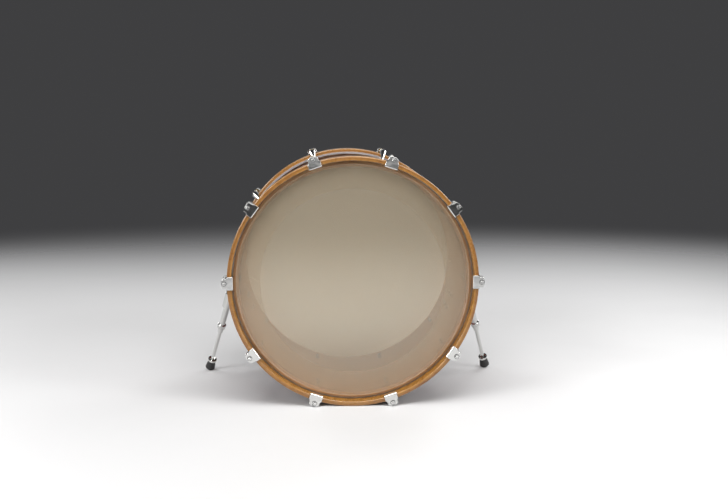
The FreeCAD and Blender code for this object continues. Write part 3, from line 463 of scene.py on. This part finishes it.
def add_mesh(name, corners, faces):
    mesh = bpy.data.meshes.new(name)
    mesh.from_pydata(corners, [], faces)
    piece = bpy.data.objects.new(name, mesh)
    bpy.context.scene.collection.objects.link(piece)
    return piece


def finished(piece, surface_slot, body):
    """A new piece takes its finish from a slot and moves with a body."""
    for polygon in piece.data.polygons:
        polygon.use_smooth = True
    piece.data.materials.append(FINISHES[surface_slot])
    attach(piece, body)


def turned_frame(joint):
    """Origin, direction and two crosswise directions of a joint's line."""
    along = Vector(joint["axis"]).normalized()
    across = along.orthogonal().normalized()
    return Vector(joint["pos_m"]), along, across, along.cross(across)


def reach_along(node, origin, along):
    """How far along a line a node starts and ends, and its nearest and furthest distances from the line."""
    steps = [vertex.co - origin for vertex in NODES[node].data.vertices]
    depths = [step.dot(along) for step in steps]
    widths = [(step - along * depth).length for step, depth in zip(steps, depths)]
    return min(depths), max(depths), min(widths), max(widths)


HOOP_ROUND = 0.0024
HOOP_STEPS = 432
CORNER_STEPS = 8
EDGE_SUPPORT = 0.0004


def outward(degrees):
    """The direction, as (radius, place), of a turn in the hoop's section."""
    return math.cos(math.radians(degrees)), math.sin(math.radians(degrees))


def rounded_corner(middle_r, middle_y, first_degrees):
    """A quarter round of the hoop's section, with one more point on each flat beside it."""
    turns = [first_degrees + 90 * k / CORNER_STEPS for k in range(CORNER_STEPS + 1)]
    swept = [(middle_r + HOOP_ROUND * r, middle_y + HOOP_ROUND * y) for r, y in map(outward, turns)]
    (first_r, first_y), (last_r, last_y) = outward(turns[0]), outward(turns[-1])
    lead_in = (swept[0][0] + first_y * EDGE_SUPPORT, swept[0][1] - first_r * EDGE_SUPPORT)
    lead_out = (swept[-1][0] - last_y * EDGE_SUPPORT, swept[-1][1] + last_r * EDGE_SUPPORT)
    return [lead_in, *swept, lead_out]


def even_hoop(node):
    """The wooden hoop with an even mesh all round, so that light runs cleanly along its rounded edges."""
    start, end, inner, outer = reach_along(node, Vector((0.0, 0.0, AXIS_HEIGHT)), Vector((0.0, 1.0, 0.0)))
    profile = []
    for quarter, (radius, place) in enumerate(((outer, end), (inner, end), (inner, start), (outer, start))):
        middle_r = radius + (HOOP_ROUND if radius == inner else -HOOP_ROUND)
        middle_y = place + (HOOP_ROUND if place == start else -HOOP_ROUND)
        profile += rounded_corner(middle_r, middle_y, 90 * quarter)
    count = len(profile)
    corners, faces = [], []
    for step in range(HOOP_STEPS):
        turn = 2 * math.pi * step / HOOP_STEPS
        corners += [(radius * math.sin(turn), place, AXIS_HEIGHT + radius * math.cos(turn))
                    for radius, place in profile]
        here, following = step * count, (step + 1) % HOOP_STEPS * count
        faces += [(here + k, following + k, following + (k + 1) % count, here + (k + 1) % count)
                  for k in range(count)]
    piece = add_mesh(node + "_even", corners, faces)
    finished(piece, "hoop_maple", "drum")
    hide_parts(node)


even_hoop("batter_hoop")
even_hoop("front_hoop")


THREAD_PITCH = 0.00106
THREAD_CREST = 0.00322
THREAD_ROOT = 0.00285
THREAD_FLANK = 0.00043
THREAD_LENGTH = 0.0155
THREAD_CLEAR = 0.0009
THREAD_STEPS = 26
LEAST_RUNOUT = 0.05


def thread(joint, lug_node):
    """The ridge of a rod's thread, where it leaves its lug. It rises and dies away over one turn."""
    origin, along, across, third = turned_frame(joint)
    lug_end = reach_along(lug_node, origin, along)[1]
    start = lug_end + THREAD_CLEAR
    count = int(THREAD_LENGTH / THREAD_PITCH * THREAD_STEPS)
    corners, faces = [], []
    for step in range(count + 1):
        angle = 2 * math.pi * step / THREAD_STEPS
        runout = min(1.0, step / THREAD_STEPS, (count - step) / THREAD_STEPS)
        crest = THREAD_ROOT + (THREAD_CREST - THREAD_ROOT) * max(runout, LEAST_RUNOUT)
        out = across * math.cos(angle) + third * math.sin(angle)
        middle = origin + along * (start + THREAD_PITCH * step / THREAD_STEPS)
        corners += [middle + out * THREAD_ROOT - along * THREAD_FLANK, middle + out * crest,
                    middle + out * THREAD_ROOT + along * THREAD_FLANK]
        if step:
            here, before = 3 * step, 3 * (step - 1)
            for k in range(3):
                after = (k + 1) % 3
                faces.append((before + k, here + k, here + after, before + after))
    faces += [(0, 1, 2), (3 * count + 2, 3 * count + 1, 3 * count)]
    finished(add_mesh(joint["child"] + "_thread", corners, faces), "rod_chrome", joint["child"])


RIB_COUNT = 32
RIB_WIDTH = 0.0013
RIB_HEIGHT = 0.00045
# A rib's ends and sides start inside the collar, and its middle rows are lifted by this much more.
RIB_SINK = 0.0002
RIB_LIFT = 0.0001
RIB_INSET = 0.0015
RIB_LENGTH = 0.0100
# Places along a rib, each with its share of the rib's height.
RIB_ROWS = ((RIB_INSET, 0.0), (RIB_INSET + RIB_HEIGHT, 1.0),
            (RIB_INSET + RIB_LENGTH - RIB_HEIGHT, 1.0), (RIB_INSET + RIB_LENGTH, 0.0))
# Places across a rib, as shares of its width, each with its share of the rib's height.
RIB_SECTION = ((-0.5, 0.0), (-0.22, 0.8), (0.0, 1.0), (0.22, 0.8), (0.5, 0.0))


def grip(joint):
    """The ribs round a spur's collar."""
    origin, along, across, third = turned_frame(joint)
    start, end, _, widest = reach_along(joint["child"], origin, along)
    # Both collars' ribs are made from the top down.
    if along.z > 0:
        start, along = -end, -along
    wide = len(RIB_SECTION)
    corners, faces = [], []
    for rib in range(RIB_COUNT):
        angle = 2 * math.pi * rib / RIB_COUNT
        out = across * math.cos(angle) + third * math.sin(angle)
        side = along.cross(out)
        first = len(corners)
        corners += [origin + along * (start + depth) + side * (lean * RIB_WIDTH)
                    + out * (widest - RIB_SINK + RIB_HEIGHT * lift * height + RIB_LIFT * height)
                    for depth, height in RIB_ROWS for lean, lift in RIB_SECTION]
        rows = [first + wide * row for row in range(len(RIB_ROWS))]
        bands = list(zip(rows, rows[1:]))
        faces += [(here + k, here + k + 1, following + k + 1, following + k)
                  for here, following in bands for k in range(wide - 1)]
        faces += [(here + wide - 1, here, following, following + wide - 1) for here, following in bands]
        faces.append(tuple(rows[0] + k for k in reversed(range(wide))))
        faces.append(tuple(rows[-1] + k for k in range(wide)))
    finished(add_mesh(joint["child"] + "_grip", corners, faces), "bright_chrome", joint["child"])


for joint in frame["joints"]:
    if joint["child"].startswith(("batter_rod", "front_rod")):
        thread(joint, joint["child"].split("_")[0] + "_lugs")
    elif joint["child"].endswith("_collar"):
        grip(joint)


# ---------------------------------------------------------------- stage, light and camera

FLOOR_HALF = 14.0
FLOOR_CORNERS = [(x * FLOOR_HALF, y * FLOOR_HALF, 0.0) for x, y in ((-1, -1), (1, -1), (1, 1), (-1, 1))]
floor = add_mesh("studio_floor", FLOOR_CORNERS, [(0, 1, 2, 3)])
floor.data.materials.append(floor_paint("studio_floor_look"))

DRUM_MIDDLE = (0.0, 0.0, AXIS_HEIGHT)


def softbox(name, place, wide, high, watts, target=DRUM_MIDDLE, colour=(1.0, 1.0, 1.0)):
    data = bpy.data.lights.new(name, "AREA")
    data.shape = "RECTANGLE"
    data.size, data.size_y = wide, high
    data.energy = watts
    data.color = colour
    lamp = bpy.data.objects.new(name, data)
    bpy.context.scene.collection.objects.link(lamp)
    lamp.location = place
    lamp.rotation_euler = (Vector(target) - Vector(place)).to_track_quat("-Z", "Y").to_euler()


softbox("overhead", (0.1, -1.3, 2.7), wide=2.8, high=2.0, watts=134.0, target=(0.0, 0.0, 0.1),
        colour=(1.0, 0.99, 0.975))
softbox("front_wall", (0.0, -7.0, 2.05), wide=9.0, high=3.9, watts=60.0)
softbox("back_wall", (0.0, 6.5, 1.9), wide=7.0, high=2.4, watts=14.0)
softbox("key_left", (-2.5, -2.4, 1.7), wide=1.1, high=1.7, watts=96.0)
softbox("fill_right", (2.7, -1.9, 1.5), wide=1.0, high=1.7, watts=62.0)
softbox("back_right", (1.9, 2.7, 1.9), wide=1.4, high=1.5, watts=55.0)
softbox("back_left", (-2.3, 2.3, 1.5), wide=1.0, high=1.5, watts=40.0)

BACKDROP_GREY = (0.050, 0.050, 0.052, 1.0)


def studio_world():
    world = bpy.data.worlds.new("studio")
    bpy.context.scene.world = world
    world.use_nodes = True
    tree = world.node_tree
    tree.nodes.clear()
    background = tree.nodes.new("ShaderNodeBackground")
    background.inputs["Color"].default_value = BACKDROP_GREY
    output = tree.nodes.new("ShaderNodeOutputWorld")
    tree.links.new(background.outputs[0], output.inputs["Surface"])


studio_world()

CAMERA_PLACE = (-0.10227, -2.97979, 0.72307)
CAMERA_PITCH_DEG = 7.244
CAMERA_YAW_DEG = 2.644
LENS_MM = 58.906
SENSOR_MM = 36.0
FURTHEST_SEEN = 60.0
lens = bpy.data.cameras.new("camera")
lens.lens = LENS_MM
lens.sensor_width = SENSOR_MM
lens.clip_end = FURTHEST_SEEN
camera = bpy.data.objects.new("camera", lens)
bpy.context.scene.collection.objects.link(camera)
camera.location = CAMERA_PLACE
camera.rotation_euler = (math.radians(90 - CAMERA_PITCH_DEG), 0.0, math.radians(-CAMERA_YAW_DEG))
bpy.context.scene.camera = camera
bpy.context.scene.view_settings.view_transform = "Standard"
